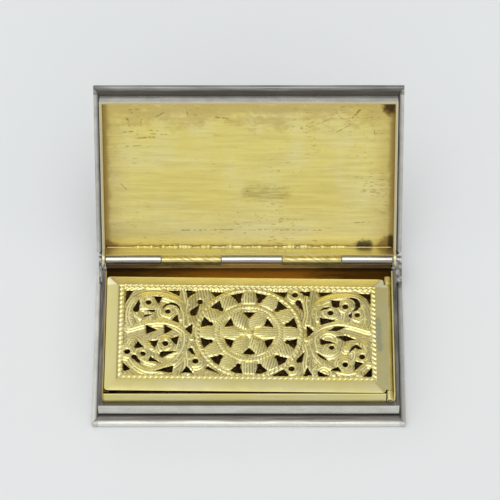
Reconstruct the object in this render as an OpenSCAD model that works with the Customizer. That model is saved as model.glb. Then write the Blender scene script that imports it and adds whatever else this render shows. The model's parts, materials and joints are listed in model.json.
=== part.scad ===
// Silver vinaigrette: a slim hinged box, gilt inside, with a pierced gilt grille
// over the sponge that holds the scented vinegar. Millimetres, +Z up, origin at the
// middle of the underside. At rest the lid stands open and the grille's free end is a
// little raised.

/* [Case] */
// Width over the edge mouldings
case_w = 36; // [32:0.5:42]
// Depth over the edge mouldings
case_d = 21.6; // [19:0.2:26]
// Height of the base up to the parting line
base_h = 3.05; // [2.9:0.05:3.6]
// Height of the lid above the parting line
lid_h = 2.9; // [2.6:0.05:3.6]
// Thickness of the bottom plate
bottom_t = 0.5; // [0.4:0.05:0.7]
// Thickness of the lid's top plate
top_t = 0.5; // [0.4:0.05:0.7]
// Thickness of the base's wall strips
base_wall_t = 0.5; // [0.4:0.02:0.56]
// Thickness of the lid's wall strip
lid_wall_t = 0.3; // [0.2:0.02:0.34]
// Gap left at the parting line when the lid is shut
seat_gap = 0.04; // [0.03:0.01:0.08]

/* [Edge moulding] */
// How far the moulding stands out in front and behind
mould_out = 1; // [0.8:0.05:1.1]
// How far the moulding stands out at the sides
mould_out_side = 0.75; // [0.7:0.05:0.9]
// Height of the moulding
mould_h = 1.05; // [0.9:0.05:1.3]
// Rounding of the moulding's outer edge
mould_nose = 0.3; // [0.15:0.05:0.4]
// Rise of the hollow between the moulding's rim and the wall
mould_hollow = 0.22; // [0.1:0.02:0.3]
// Cut across the two rear corners of the mouldings
rear_corner_cut = 0.6; // [0.3:0.1:0.7]

/* [Bezel] */
// Thickness of the gilt bezel strip
bezel_t = 0.15; // [0.12:0.01:0.25]
// How far the bezel rises above the parting line
bezel_rise = 1.6; // [1.3:0.05:1.8]
// How far the bezel's side arms reach past the grille's hinge
bezel_past = 0.16; // [0.05:0.01:0.4]

/* [Lid hinge] */
// Outside diameter of the hinge barrel
barrel_d = 1.1; // [0.9:0.05:1.3]
// Diameter of the hinge pin
pin_d = 0.5; // [0.4:0.05:0.6]
// Running clearance round a pin, on the radius
pin_clear = 0.03; // [0.02:0.01:0.06]
// Gap between neighbouring knuckles
knuckle_gap = 0.06; // [0.04:0.01:0.12]
// Gap between the barrel and the back strips
barrel_stand = 0.04; // [0.03:0.01:0.08]
// Radius of the ears in which the lid's side arms end
ear_r = 1.2; // [1:0.05:1.35]
// Room round each ear in the base's side arms
ear_clear = 0.1; // [0.06:0.02:0.2]
// Thickness of the hinge arm at the left, outside the lid's ear
arm_t_left = 0.4; // [0.3:0.05:0.6]
// Thickness of the hinge arm at the right
arm_t_right = 0.7; // [0.5:0.05:0.7]
// How far the hinge arms reach in front of the axis
arm_foot = 2.1; // [1.9:0.1:2.4]
// Height of the hinge arms at their front end
arm_toe = 0.3; // [0.2:0.05:0.5]
// Gap between the hinge arms and the moulding below them
arm_rise = 0.12; // [0.1:0.02:0.2]
// Gap between each hinge arm and the ear beside it
arm_gap = 0.04; // [0.03:0.01:0.08]
// How far the lid stands open
open_angle = 120; // [95:1:130]

/* [Grille] */
// Thickness of the grille plate
grille_t = 0.4; // [0.3:0.05:0.5]
// Height of the grille's top face above the underside
grille_top = 3.9; // [3.6:0.05:4.1]
// Gap between the bezel's front and the grille
grille_front_gap = 0.63; // [0.45:0.03:0.8]
// Distance from the lid hinge's axis to the back of the grille
grille_back = 3.21; // [3:0.01:3.8]
// Gap between the grille's free end and the bezel
grille_side_gap = 0.06; // [0.04:0.02:0.2]
// Plain border in front of the pierced field
border_front = 2.1; // [1.8:0.1:2.4]
// Plain border behind the pierced field
border_back = 1.8; // [1.5:0.1:2.1]
// Plain border at each end of the pierced field
border_side = 2.22; // [2:0.02:2.6]
// Width of the slope that frames the grille like a picture
bevel_w = 1.2; // [0.8:0.1:1.4]
// Fall of that slope
bevel_h = 0.16; // [0.1:0.02:0.22]
// Radius of the grille's corners
grille_corner_r = 0.4; // [0.2:0.1:1]
// Angle by which the grille's free end is raised at rest
grille_lift = 1.15; // [0:0.05:1.5]
// Radius of the circle that bounds the piercings between the rosette's petals
petal_r = 2.95; // [2.7:0.05:3.1]
// Radius of the circle that bounds the piercings between the rosette's fans
fan_r = 5.65; // [5.4:0.05:5.75]
// Radius of the round eye at the foot of each piercing between fans
fan_eye_r = 0.28; // [0.2:0.02:0.32]

/* [Grille hinge] */
// Outside diameter of the grille's hinge barrel
small_barrel_d = 0.8; // [0.7:0.05:0.9]
// Diameter of the grille's hinge pin
small_pin_d = 0.36; // [0.3:0.02:0.4]
// Gap between that barrel and the bezel's right arm
small_gap = 0.03; // [0.02:0.01:0.06]
// Length of the fixed knuckle at each end of the grille's hinge
small_fixed_l = 1.15; // [0.9:0.05:1.5]
// How far the rear one reaches behind the grille
small_fixed_back = 0.45; // [0.3:0.05:0.5]
// Height of the ledge strip under the grille's free end
rest_h = 0.45; // [0.3:0.05:0.6]
// Width of that ledge strip
rest_w = 0.6; // [0.4:0.05:0.8]
// Gap between the ledge strip and the grille
rest_gap = 0.03; // [0.02:0.01:0.06]

/* [Sponge] */
// Thickness of the sponge at its middle
sponge_h = 1.9; // [1.2:0.1:2.2]
// How much lower the sponge is at its front and back
sponge_crown = 0.35; // [0.2:0.05:0.5]
// Gap between the sponge and the walls
sponge_gap = 1.2; // [0.6:0.1:2]
// Radius of the sponge's corners
sponge_corner_r = 2.5; // [1:0.5:4]

/* [Hidden] */
$fn = 48;
eps = 0.01;

// Outer faces of the walls
wall_hx = case_w / 2 - mould_out_side;
wall_hy = case_d / 2 - mould_out;
// Inner faces of the base walls, where the bezel lies
bezel_hx = wall_hx - base_wall_t;
bezel_y0 = -wall_hy + base_wall_t;
// Inner faces of the bezel
room_hx = bezel_hx - bezel_t;
room_y0 = bezel_y0 + bezel_t;
bezel_top = base_h + bezel_rise;
closed_h = base_h + lid_h;
// Height of the lid's moulding above its outer rim, measured from the parting line
lid_under = closed_h - mould_h;

// Axis of the lid hinge
hinge_y = wall_hy + barrel_stand + barrel_d / 2;
hinge_z = base_h;
lid_inner_hx = wall_hx - lid_wall_t;
barrel_hx = lid_inner_hx - knuckle_gap;
// The barrel is cut into five knuckles, with these shares of its length from the left
KNUCKLES = [6.55, 7.07, 7.14, 7.01, 6.01];
function total(list, count) = count == 0 ? 0 : list[count - 1] + total(list, count - 1);
function knuckle_x(place) =
    2 * barrel_hx * (total(KNUCKLES, place) / total(KNUCKLES, len(KNUCKLES)) - 1 / 2);

// Axis of the grille hinge, with its barrel against the bezel's right arm and level with the
// foot of the grille's slope
small_r = small_barrel_d / 2;
grille_hinge_x = room_hx - small_gap - small_r;
grille_hinge_z = grille_top - bevel_h - small_r;
grille_y0 = room_y0 + grille_front_gap;
grille_y1 = hinge_y - grille_back;
grille_d = grille_y1 - grille_y0;
grille_x0 = -room_hx + grille_side_gap;
grille_cx = (grille_x0 + room_hx - small_gap) / 2;
grille_cy = (grille_y0 + grille_y1) / 2;
// The plate reaches the hinge axis where it carries its knuckle, and stops short elsewhere
grille_edge_x = grille_hinge_x - small_r - knuckle_gap;
// The grille carries the whole length between the two fixed knuckles
small_y1 = grille_y1 + small_fixed_back;
grille_knuckle_y0 = bezel_y0 + small_fixed_l + knuckle_gap;
grille_knuckle_y1 = small_y1 - small_fixed_l - knuckle_gap;

// Pierced field, a rosette between two panels of scrolls
field_hx = (room_hx - grille_x0) / 2 - border_side;
field_y0 = grille_y0 + border_front;
field_y1 = grille_y1 - border_back;
field_hy = (field_y1 - field_y0) / 2;
field_cy = (field_y0 + field_y1) / 2;

// Half sizes of the field that the piercings below are set out on, from its middle
DESIGN = [14.2, 5.9];
// Round eyes: middle and radius
EYES = [
    [-11.58, 4.09, 0.32], [-9.34, 2.85, 0.30], [-5.65, 4.30, 0.33], [-9.57, -1.59, 0.33],
    [-13.86, -2.77, 0.33], [-12.10, -3.04, 0.30], [-6.10, -3.96, 0.33], [5.28, 5.33, 0.34],
    [11.07, 3.77, 0.33], [12.42, 2.62, 0.30], [9.36, 2.88, 0.33], [9.45, -1.95, 0.30],
    [12.88, -3.15, 0.33], [10.95, -4.25, 0.33], [4.85, -4.88, 0.33]
];
// Commas: middle of the round end, its radius, and the tip of the tail
COMMAS = [
    [-12.98, 3.05, 0.38, -12.60, 4.60], [-6.40, 2.74, 0.42, -5.70, 3.98],
    [-13.10, -3.50, 0.33, -12.20, -4.40], [-9.85, -3.06, 0.36, -8.15, -2.60],
    [-6.65, -2.42, 0.28, -6.05, -3.30], [5.68, 4.25, 0.36, 6.25, 3.10],
    [5.75, -3.65, 0.33, 6.30, -2.50]
];
// Crescents: middle, turn of the bulge, radius and depth
CRESCENTS = [[-8.95, 3.05, 85, 1.05, 0.35], [11.85, 4.07, 10, 0.95, 0.55]];
// Straight-sided cuts, by their corners: the left panel's back half and front half,
// then the right panel's
CUTS = [
    [[-14.15, 5.78], [-13.30, 5.78], [-13.75, 5.00], [-14.25, 4.00]],
    [[-11.00, 4.93], [-9.98, 4.88], [-10.40, 3.93]],
    [[-11.95, 2.97], [-10.75, 3.07], [-10.95, 2.67]],
    [[-12.20, 2.02], [-11.90, 2.47], [-11.00, 2.42]],
    [[-8.25, 2.51], [-8.00, 1.31], [-8.85, 1.71]],
    [[-11.85, 1.00], [-11.75, -0.25], [-10.45, 0.33]],
    [[-9.75, 1.05], [-9.70, -0.25], [-8.75, 0.40]],
    [[-6.45, 1.20], [-6.60, -0.40], [-7.35, 0.38]],
    [[-9.45, 5.85], [-7.95, 5.85], [-8.05, 5.05]],
    [[-7.30, 5.82], [-6.00, 5.78], [-7.10, 4.65]],
    [[-4.40, 5.72], [-2.90, 5.67], [-3.95, 5.00]],

    [[-13.10, -2.20], [-12.70, -1.20], [-11.95, -2.15]],
    [[-11.40, -1.18], [-10.35, -1.13], [-10.80, -2.23]],
    [[-9.05, -0.90], [-8.00, -0.45], [-8.30, -1.70]],
    [[-11.15, -3.38], [-11.50, -4.03], [-10.05, -4.20]],
    [[-14.30, -4.20], [-14.25, -5.40], [-13.45, -5.10]],
    [[-10.75, -5.36], [-8.60, -4.60], [-8.70, -5.50]],
    [[-7.75, -5.55], [-6.30, -5.60], [-7.10, -4.65]],
    [[-4.75, -4.53], [-4.95, -4.95], [-3.10, -5.65]],

    [[2.75, 5.80], [4.45, 5.77], [4.10, 4.97]],
    [[5.65, 5.83], [7.05, 5.85], [6.95, 5.00]],
    [[8.00, 5.83], [9.85, 5.83], [8.20, 5.13]],
    [[9.40, 4.65], [10.45, 4.60], [10.35, 3.65], [9.65, 3.60]],
    [[12.50, 5.70], [13.95, 5.65], [13.90, 4.15], [13.45, 5.05]],
    [[11.85, 3.00], [11.40, 2.60], [11.75, 2.05]],
    [[8.00, 3.05], [8.55, 3.60], [9.60, 3.75], [8.80, 3.35]],
    [[8.10, 2.25], [8.20, 1.10], [10.00, 1.85]],
    [[8.95, 0.30], [9.85, 1.00], [11.20, 1.05], [10.10, 0.45]],
    [[6.60, 1.10], [6.65, -0.55], [7.45, 0.25]],

    [[9.90, -0.45], [11.00, -0.15], [12.20, -0.70], [11.00, -1.00]],
    [[8.15, -0.65], [8.20, -1.50], [9.95, -1.35]],
    [[11.30, -2.75], [11.75, -1.75], [12.30, -1.35], [13.00, -2.10], [12.15, -1.95]],
    [[12.10, -3.75], [13.05, -4.05], [11.95, -5.15]],
    [[13.95, -4.55], [13.95, -5.85], [12.95, -5.80]],
    [[9.15, -5.10], [10.10, -4.50], [10.55, -5.20]],
    [[7.85, -5.10], [9.20, -5.80], [7.90, -5.85]],
    [[6.60, -4.65], [7.20, -5.80], [6.20, -5.80]],
    [[2.65, -5.80], [4.60, -5.85], [3.95, -4.95]],
    [[7.60, -2.55], [7.95, -3.20], [9.20, -3.75], [8.50, -3.20]]
];
PETALS = 6;
FANS = 12;
// Length and width of the piercings between petals, and between fans
petal_hole_l = 0.95;
petal_hole_w = 1.7;
fan_hole_l = 1.05;
fan_hole_w = 1.6;

SILVER = [0.74, 0.74, 0.70];
GILT = [0.83, 0.72, 0.38];
SPONGE = [0.33, 0.24, 0.13];

// Turns a piece drawn in the shut position to where it stands with the lid open
module lid_open() {
    translate([0, hinge_y, hinge_z])
        rotate([-open_angle, 0, 0])
            translate([0, -hinge_y, -hinge_z])
                children();
}

// Lays a profile drawn as (depth, height) along X
module along_x(length) {
    rotate([90, 0, 90]) linear_extrude(length, center = true) children();
}

module rounded_rect(size, r) {
    x = size[0] / 2 - r;
    y = size[1] / 2 - r;
    square([size[0], 2 * y], center = true);
    square([2 * x, size[1]], center = true);
    for (sx = [-x, x]) for (sy = [-y, y]) translate([sx, sy]) circle(r);
}

// Section of the edge moulding: flat underneath, a round nose, and a hollow up to the wall
module moulding_section(out) {
    hollow_r = (out * out + mould_hollow * mould_hollow) / (2 * mould_hollow);
    difference() {
        square([out, mould_h]);
        translate([out - mould_nose, 0]) difference() {
            square([mould_nose + eps, mould_nose]);
            translate([0, mould_nose]) circle(mould_nose);
        }
        translate([out, mould_h - mould_hollow + hollow_r]) circle(hollow_r);
    }
}

// One mitred length of moulding on the side that "turn" faces: 0 back, 90 left, 180 front, 270 right
module moulding_side(turn) {
    sideways = turn == 90 || turn == 270;
    half_out = (sideways ? case_w : case_d) / 2;
    half_along = (sideways ? case_d : case_w) / 2;
    out = sideways ? mould_out_side : mould_out;
    end_out = sideways ? mould_out : mould_out_side;
    difference() {
        rotate([0, 0, turn]) intersection() {
            translate([0, half_out - out, 0]) along_x(2 * half_along) moulding_section(out);
            linear_extrude(mould_h) polygon([
                [-half_along, half_out],
                [half_along, half_out],
                [half_along - end_out, half_out - out],
                [-half_along + end_out, half_out - out]
            ]);
        }
        for (side = [-1, 1])
            translate([side * case_w / 2, case_d / 2, 0])
                rotate([0, 0, 45])
                    cube([rear_corner_cut * sqrt(2), rear_corner_cut * sqrt(2), 3 * mould_h], center = true);
    }
}

module base_moulding(turn) {
    color(SILVER) moulding_side(turn);
}

module lid_moulding(turn) {
    color(SILVER) lid_open() translate([0, 0, closed_h]) mirror([0, 0, 1]) moulding_side(turn);
}

module bottom_plate() {
    color(SILVER) translate([-wall_hx, -wall_hy, 0]) cube([2 * wall_hx, 2 * wall_hy, bottom_t]);
}

// A strip bent round the front and both sides, from the height "low" to "high"
module bent_strip(hx, y0, y1, thick, low, high) {
    difference() {
        translate([-hx, y0, low]) cube([2 * hx, y1 - y0, high - low]);
        translate([-hx + thick, y0 + thick, low - eps])
            cube([2 * (hx - thick), y1 - y0, high - low + 2 * eps]);
    }
}

// The base's side arms are cut away behind, where the lid's ears turn
module base_wall() {
    color(SILVER) difference() {
        bent_strip(wall_hx, -wall_hy, wall_hy, base_wall_t, bottom_t, base_h);
        translate([0, hinge_y, hinge_z])
            rotate([0, 90, 0])
                cylinder(h = case_w, r = ear_r + ear_clear, center = true);
    }
}

module base_back_strip() {
    color(SILVER) translate([-bezel_hx, wall_hy - base_wall_t, bottom_t])
        cube([2 * bezel_hx, base_wall_t, base_h - bottom_t]);
}

// The bezel's front is cut open at the right for the end of the grille's hinge
module bezel() {
    slot_x = grille_hinge_x - small_r - knuckle_gap;
    slot_z = grille_hinge_z - small_r - knuckle_gap;
    color(GILT) difference() {
        bent_strip(bezel_hx, bezel_y0, small_y1 + bezel_past, bezel_t, bottom_t, bezel_top);
        translate([slot_x, bezel_y0 - eps, slot_z])
            cube([room_hx - slot_x, bezel_t + 2 * eps, bezel_top]);
    }
}

// A tube on the lid hinge's axis between two places along X
module barrel(x0, x1) {
    translate([x0, hinge_y, hinge_z]) rotate([0, 90, 0])
        cylinder(h = x1 - x0, d = barrel_d);
}

module barrel_bore(clear) {
    translate([0, hinge_y, hinge_z]) rotate([0, 90, 0])
        cylinder(h = case_w, d = pin_d + 2 * clear, center = true);
}

// A knuckle with the solder that holds it to a back strip, below the parting line or above it
module knuckle(place, above, clear) {
    x0 = knuckle_x(place) + knuckle_gap / 2;
    x1 = knuckle_x(place + 1) - knuckle_gap / 2;
    foot_h = barrel_d / 2 - 2 * seat_gap;
    difference() {
        union() {
            barrel(x0, x1);
            translate([x0, wall_hy, hinge_z + (above ? 2 * seat_gap : -2 * seat_gap - foot_h)])
                cube([x1 - x0, hinge_y - wall_hy, foot_h]);
        }
        barrel_bore(clear);
    }
}

// The base's knuckles grip the pin, and the lid's knuckles turn on it
module base_knuckle(place) {
    color(SILVER) knuckle(place, false, 0);
}

module lid_knuckle(place) {
    color(GILT) lid_open() knuckle(place, true, pin_clear);
}

// Arms on the base's sides hold the ends of the pin outside the lid's ears
module base_arm(side) {
    thick = side < 0 ? arm_t_left : arm_t_right;
    low = mould_h + arm_rise;
    r = barrel_d / 2;
    toe = [-arm_foot, low + arm_toe - hinge_z];
    // Where the arm's top meets the round end
    meet = atan2(toe[1], toe[0]) - acos(r / norm(toe));
    color(SILVER) difference() {
        translate([side * (wall_hx + thick / 2), hinge_y, hinge_z]) along_x(thick) union() {
            circle(r);
            polygon([
                toe, [-arm_foot, low - hinge_z], [r, low - hinge_z], [r, 0], [0, 0],
                [r * cos(meet), r * sin(meet)]
            ]);
        }
        translate([side * wall_hx, hinge_y, hinge_z]) rotate([0, 90, 0])
            cylinder(h = 2 * arm_gap, r = ear_r + ear_clear, center = true);
        barrel_bore(0);
    }
}

module hinge_pin() {
    color(SILVER) translate([-wall_hx - arm_t_left, hinge_y, hinge_z]) rotate([0, 90, 0])
        cylinder(h = 2 * wall_hx + arm_t_left + arm_t_right, d = pin_d);
}

module top_plate() {
    color(SILVER) lid_open() translate([-wall_hx, -wall_hy, closed_h - top_t])
        cube([2 * wall_hx, 2 * wall_hy, top_t]);
}

// The lid's side arms end in round ears that turn on the pin outside the barrel
module lid_wall() {
    low = base_h + seat_gap;
    high = closed_h - top_t;
    color(SILVER) lid_open() difference() {
        union() {
            bent_strip(wall_hx, -wall_hy, wall_hy, lid_wall_t, low, high);
            for (x = [-wall_hx, lid_inner_hx]) intersection() {
                translate([x, hinge_y, hinge_z]) rotate([0, 90, 0])
                    cylinder(h = lid_wall_t, r = ear_r);
                translate([x, 0, 0]) cube([lid_wall_t, case_d / 2, closed_h]);
            }
        }
        barrel_bore(pin_clear);
    }
}

module lid_back_strip() {
    low = base_h + seat_gap;
    color(SILVER) lid_open() translate([-lid_inner_hx, wall_hy - base_wall_t, low])
        cube([2 * lid_inner_hx, base_wall_t, closed_h - top_t - low]);
}

// Fits a point of the piercings' layout to the field
function spot(x, y) = [x * field_hx / DESIGN[0], y * field_hy / DESIGN[1]];

// A round end with two straight sides that meet in a tip
module comma(eye, r, tip) {
    reach = tip - eye;
    tangent = acos(r / norm(reach));
    translate(eye) rotate(atan2(reach[1], reach[0])) {
        circle(r);
        polygon([
            [norm(reach), 0],
            [r * cos(tangent), r * sin(tangent)],
            [r * cos(tangent), -r * sin(tangent)]
        ]);
    }
}

module crescent(r, depth) {
    difference() {
        circle(r);
        translate([-depth, 0]) circle(r);
    }
}

// Three-sided piercing that points inwards, with its outer side on a circle
module wedge_hole(outer, w, length) {
    intersection() {
        polygon([[outer, w / 2], [outer, -w / 2], [outer - length, 0]]);
        circle(outer);
    }
}

module rosette_holes() {
    for (k = [0 : PETALS - 1]) rotate((k + 0.5) * 360 / PETALS)
        wedge_hole(petal_r, petal_hole_w, petal_hole_l);
    for (k = [0 : FANS - 1]) rotate((k + 0.5) * 360 / FANS) {
        wedge_hole(fan_r, fan_hole_w, fan_hole_l + fan_eye_r);
        translate([fan_r - fan_hole_l, 0]) circle(fan_eye_r);
    }
}

module scroll_holes() {
    for (e = EYES) translate(spot(e[0], e[1])) circle(e[2]);
    for (c = COMMAS) comma(spot(c[0], c[1]), c[2], spot(c[3], c[4]));
    for (c = CRESCENTS) translate(spot(c[0], c[1])) rotate(c[2]) crescent(c[3], c[4]);
    for (corners = CUTS) polygon([for (c = corners) spot(c[0], c[1])]);
}

// Turns a piece drawn with the grille lying down to where it stands at rest
module grille_raised() {
    translate([grille_hinge_x, 0, grille_hinge_z])
        rotate([0, grille_lift, 0])
            translate([-grille_hinge_x, 0, -grille_hinge_z])
                children();
}

// The plate without its piercings: sloped edges all round, and room for the fixed knuckles
module grille_blank() {
    low = grille_top - grille_t;
    cut = grille_top - bevel_h;
    difference() {
        intersection() {
            translate([0, 0, low]) linear_extrude(grille_t) union() {
                translate([(grille_x0 + grille_edge_x) / 2, grille_cy])
                    rounded_rect([grille_edge_x - grille_x0, grille_d], grille_corner_r);
                translate([grille_cx, grille_knuckle_y0])
                    square([grille_hinge_x - grille_cx, grille_knuckle_y1 - grille_knuckle_y0]);
            }
            along_x(case_w) polygon([
                [grille_y0, low], [grille_y1, low], [grille_y1, cut],
                [grille_y1 - bevel_w, grille_top], [grille_y0 + bevel_w, grille_top], [grille_y0, cut]
            ]);
            translate([0, grille_cy, 0]) rotate([90, 0, 0]) linear_extrude(case_d, center = true) polygon([
                [grille_x0, low], [room_hx, low], [room_hx, cut], [grille_edge_x, cut],
                [grille_edge_x - bevel_w, grille_top], [grille_x0 + bevel_w, grille_top], [grille_x0, cut]
            ]);
        }
        translate([grille_hinge_x, grille_cy, grille_hinge_z]) rotate([90, 0, 0])
            cylinder(h = grille_d, r = small_r, center = true);
    }
}

module grille_plate() {
    color(GILT) grille_raised() difference() {
        grille_blank();
        translate([grille_cx, field_cy, grille_top - 2 * grille_t]) linear_extrude(3 * grille_t) {
            rosette_holes();
            scroll_holes();
        }
    }
}

// A tube on the grille hinge's axis between two places along Y
module small_barrel(y0, y1) {
    translate([grille_hinge_x, y0, grille_hinge_z]) rotate([-90, 0, 0])
        cylinder(h = y1 - y0, r = small_r);
}

module small_bore(clear) {
    translate([grille_hinge_x, 0, grille_hinge_z]) rotate([90, 0, 0])
        cylinder(h = case_d, d = small_pin_d + 2 * clear, center = true);
}

module grille_knuckle() {
    color(GILT) grille_raised() difference() {
        small_barrel(grille_knuckle_y0, grille_knuckle_y1);
        small_bore(pin_clear);
    }
}

// A fixed knuckle that grips the pin, with the solder that holds it to the bezel
module fixed_small_knuckle(y0, y1) {
    color(GILT) difference() {
        union() {
            small_barrel(y0, y1);
            translate([grille_hinge_x, y0, grille_hinge_z - small_r])
                cube([room_hx - grille_hinge_x, y1 - y0, small_r]);
        }
        small_bore(0);
    }
}

module grille_hinge_front() {
    fixed_small_knuckle(bezel_y0, bezel_y0 + small_fixed_l);
}

module grille_hinge_back() {
    fixed_small_knuckle(small_y1 - small_fixed_l, small_y1);
}

module grille_pin() {
    color(SILVER) translate([grille_hinge_x, bezel_y0, grille_hinge_z]) rotate([-90, 0, 0])
        cylinder(h = small_y1 - bezel_y0, d = small_pin_d);
}

module grille_rest() {
    top = grille_top - grille_t - rest_gap;
    color(GILT) translate([-room_hx, grille_y0 + grille_corner_r, top - rest_h])
        cube([rest_w, grille_d - 2 * grille_corner_r, rest_h]);
}

module sponge() {
    y0 = room_y0 + sponge_gap;
    y1 = wall_hy - base_wall_t - sponge_gap;
    half = (y1 - y0) / 2;
    crown_r = (half * half + sponge_crown * sponge_crown) / (2 * sponge_crown);
    color(SPONGE) intersection() {
        translate([0, (y0 + y1) / 2, bottom_t]) linear_extrude(sponge_h)
            rounded_rect([2 * (room_hx - sponge_gap), y1 - y0], sponge_corner_r);
        translate([0, (y0 + y1) / 2, bottom_t + sponge_h - crown_r]) rotate([0, 90, 0])
            cylinder(h = case_w, r = crown_r, center = true, $fn = 200);
    }
}

bottom_plate();
base_wall();
base_back_strip();
base_moulding(180);  // base_moulding_front
base_moulding(90);  // base_moulding_left
base_moulding(270);  // base_moulding_right
base_moulding(0);  // base_moulding_back
bezel();
base_knuckle(0);  // base_knuckle_left
base_knuckle(2);  // base_knuckle_middle
base_knuckle(4);  // base_knuckle_right
base_arm(-1);  // base_arm_left
base_arm(1);  // base_arm_right
hinge_pin();
top_plate();
lid_wall();
lid_back_strip();
lid_moulding(180);  // lid_moulding_front
lid_moulding(90);  // lid_moulding_left
lid_moulding(270);  // lid_moulding_right
lid_moulding(0);  // lid_moulding_back
lid_knuckle(1);  // lid_knuckle_left
lid_knuckle(3);  // lid_knuckle_right
grille_plate();
grille_knuckle();
grille_hinge_front();
grille_hinge_back();
grille_pin();
grille_rest();
sponge();
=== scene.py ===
"""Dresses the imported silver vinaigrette: worn silver, brushed gilding and an engraved, pierced grille.

The box stands on z = 0 with its hinge at the back (+Y). Lengths here are in metres, and in millimetres
where a name says so.
"""

import json
import math

import bmesh
import bpy
import numpy as np
from bpy.props import FloatProperty, FloatVectorProperty, IntProperty, PointerProperty
from mathutils import Matrix, Vector, noise
from mathutils.bvhtree import BVHTree
from mathutils.kdtree import KDTree


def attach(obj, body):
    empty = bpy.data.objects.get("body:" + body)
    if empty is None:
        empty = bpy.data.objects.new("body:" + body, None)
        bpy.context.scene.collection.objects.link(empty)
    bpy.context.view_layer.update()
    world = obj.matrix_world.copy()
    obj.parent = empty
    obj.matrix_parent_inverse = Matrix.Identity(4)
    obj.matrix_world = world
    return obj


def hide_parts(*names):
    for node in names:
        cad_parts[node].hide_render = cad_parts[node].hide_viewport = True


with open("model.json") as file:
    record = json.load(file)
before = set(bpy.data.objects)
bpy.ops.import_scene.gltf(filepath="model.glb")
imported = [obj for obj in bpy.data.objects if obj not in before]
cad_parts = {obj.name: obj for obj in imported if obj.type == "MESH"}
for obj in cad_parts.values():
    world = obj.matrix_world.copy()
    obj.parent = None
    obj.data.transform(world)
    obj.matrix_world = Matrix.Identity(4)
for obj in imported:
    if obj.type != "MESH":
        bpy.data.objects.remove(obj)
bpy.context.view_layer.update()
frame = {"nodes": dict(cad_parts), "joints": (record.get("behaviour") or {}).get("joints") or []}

bl_info = {
    "name": "Silver Vinaigrette",
    "version": (1, 0, 0),
    "blender": (4, 5, 0),
    "location": "View3D > Sidebar > Vinaigrette",
    "description": "Dresses a hinged silver scent box with worn silver, gilding and an engraved grille",
    "category": "Object",
}

MM = 0.001
PER_MM = 1 / MM
# Heights of the finest relief, which only the shading shows: wear, engraved cuts and pores
BUMP_MM = 0.012
CUT_MM = 0.045
PORE_MM = 0.2
# A distance that keeps a place clear of patina
FAR_MM = 9.0
# Points of a CAD piece that lie nearer than this are one, in metres, and its sides are flat to this angle
WELD = 1e-7
FLAT_ANGLE = math.radians(0.5)
# Faces that meet at more than these angles: rounded by wear, and kept as creases in the shading
WORN_ANGLE = math.radians(40)
CREASE_ANGLE = math.radians(50)
CUT_CREASE_ANGLE = math.radians(60)
SPONGE_CREASE_ANGLE = math.radians(70)
# How far the walls lean towards the rim
WALL_LEAN = (0, 0, 0.17)

JOINTS = {joint["name"]: joint for joint in frame["joints"]}
LID_AXIS = Vector(JOINTS["lid_hinge"]["pos_m"])
LID_SHUT = math.radians(JOINTS["lid_hinge"]["range_deg"][1])
GRILLE_AXIS = Vector(JOINTS["grille_hinge"]["pos_m"])
GRILLE_LIFT = math.radians(-JOINTS["grille_hinge"]["range_deg"][0])

SHUT_LID = (
    Matrix.Translation(LID_AXIS) @ Matrix.Rotation(LID_SHUT, 4, "X") @ Matrix.Translation(-LID_AXIS)
)
LAID_GRILLE = (
    Matrix.Translation(GRILLE_AXIS)
    @ Matrix.Rotation(-GRILLE_LIFT, 4, "Y")
    @ Matrix.Translation(-GRILLE_AXIS)
)


def span(places):
    """Lowest and highest corner of some places."""
    return [Vector(pick(place[i] for place in places) for i in range(3)) for pick in (min, max)]


def laid_box(node, turn):
    """Lowest and highest corner of a CAD piece in millimetres, once "turn" has moved it."""
    return span([turn @ v.co * PER_MM for v in frame["nodes"][node].data.vertices])


# Sizes of the case in millimetres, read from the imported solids
STILL = Matrix.Identity(4)
WALL_LOW, WALL_HIGH = laid_box("base_wall", STILL)
WALL_HX = WALL_HIGH.x
WALL_HY = -WALL_LOW.y
RIM_Z = WALL_HIGH.z
MOULD_LOW, MOULD_HIGH = laid_box("base_moulding_front", STILL)
MOULD_H = MOULD_HIGH.z
PANEL_Z, SHUT_H = (corner.z for corner in laid_box("top_plate", SHUT_LID))
LID_INNER_HX = laid_box("lid_back_strip", SHUT_LID)[1].x
BACK_STRIP_T = 0.1
BACK_STRIP_Y = WALL_HY - BACK_STRIP_T
LID_WALL_T = WALL_HX - LID_INNER_HX
MOULD_OUT = -WALL_HY - MOULD_LOW.y
MOULD_OUT_SIDE = laid_box("base_moulding_right", STILL)[1].x - WALL_HX
BEZEL_HX = laid_box("bezel", STILL)[1].x
KNUCKLE_ENDS = [corner.x for side in ("left", "right") for corner in laid_box(f"lid_knuckle_{side}", STILL)]

# The CAD pieces by finish: material slot, body and nodes
SIDES = ("front", "left", "right", "back")
FINISHES = {
    "wall": ("silver", "base", ["base_wall"]),
    "moulding": ("silver", "base", [f"base_moulding_{side}" for side in SIDES]),
    "barrel": (
        "silver", "base",
        ["base_knuckle_left", "base_knuckle_middle", "base_knuckle_right", "hinge_pin", "grille_pin"],
    ),
    "arm": ("silver", "base", ["base_arm_left", "base_arm_right"]),
    "inside": ("silver_gilt_inside", "base", ["bottom_plate", "base_back_strip"]),
    "lid_moulding": ("silver", "lid", [f"lid_moulding_{side}" for side in SIDES]),
    "lid": ("silver_gilt_inside", "lid", ["top_plate", "lid_wall", "lid_back_strip"]),
    "bezel": ("gilt", "base", ["bezel", "grille_hinge_front", "grille_hinge_back", "grille_rest"]),
    "knuckle": ("gilt", "lid", ["lid_knuckle_left", "lid_knuckle_right"]),
    "small_knuckle": ("gilt", "grille", ["grille_knuckle"]),
}

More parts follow.
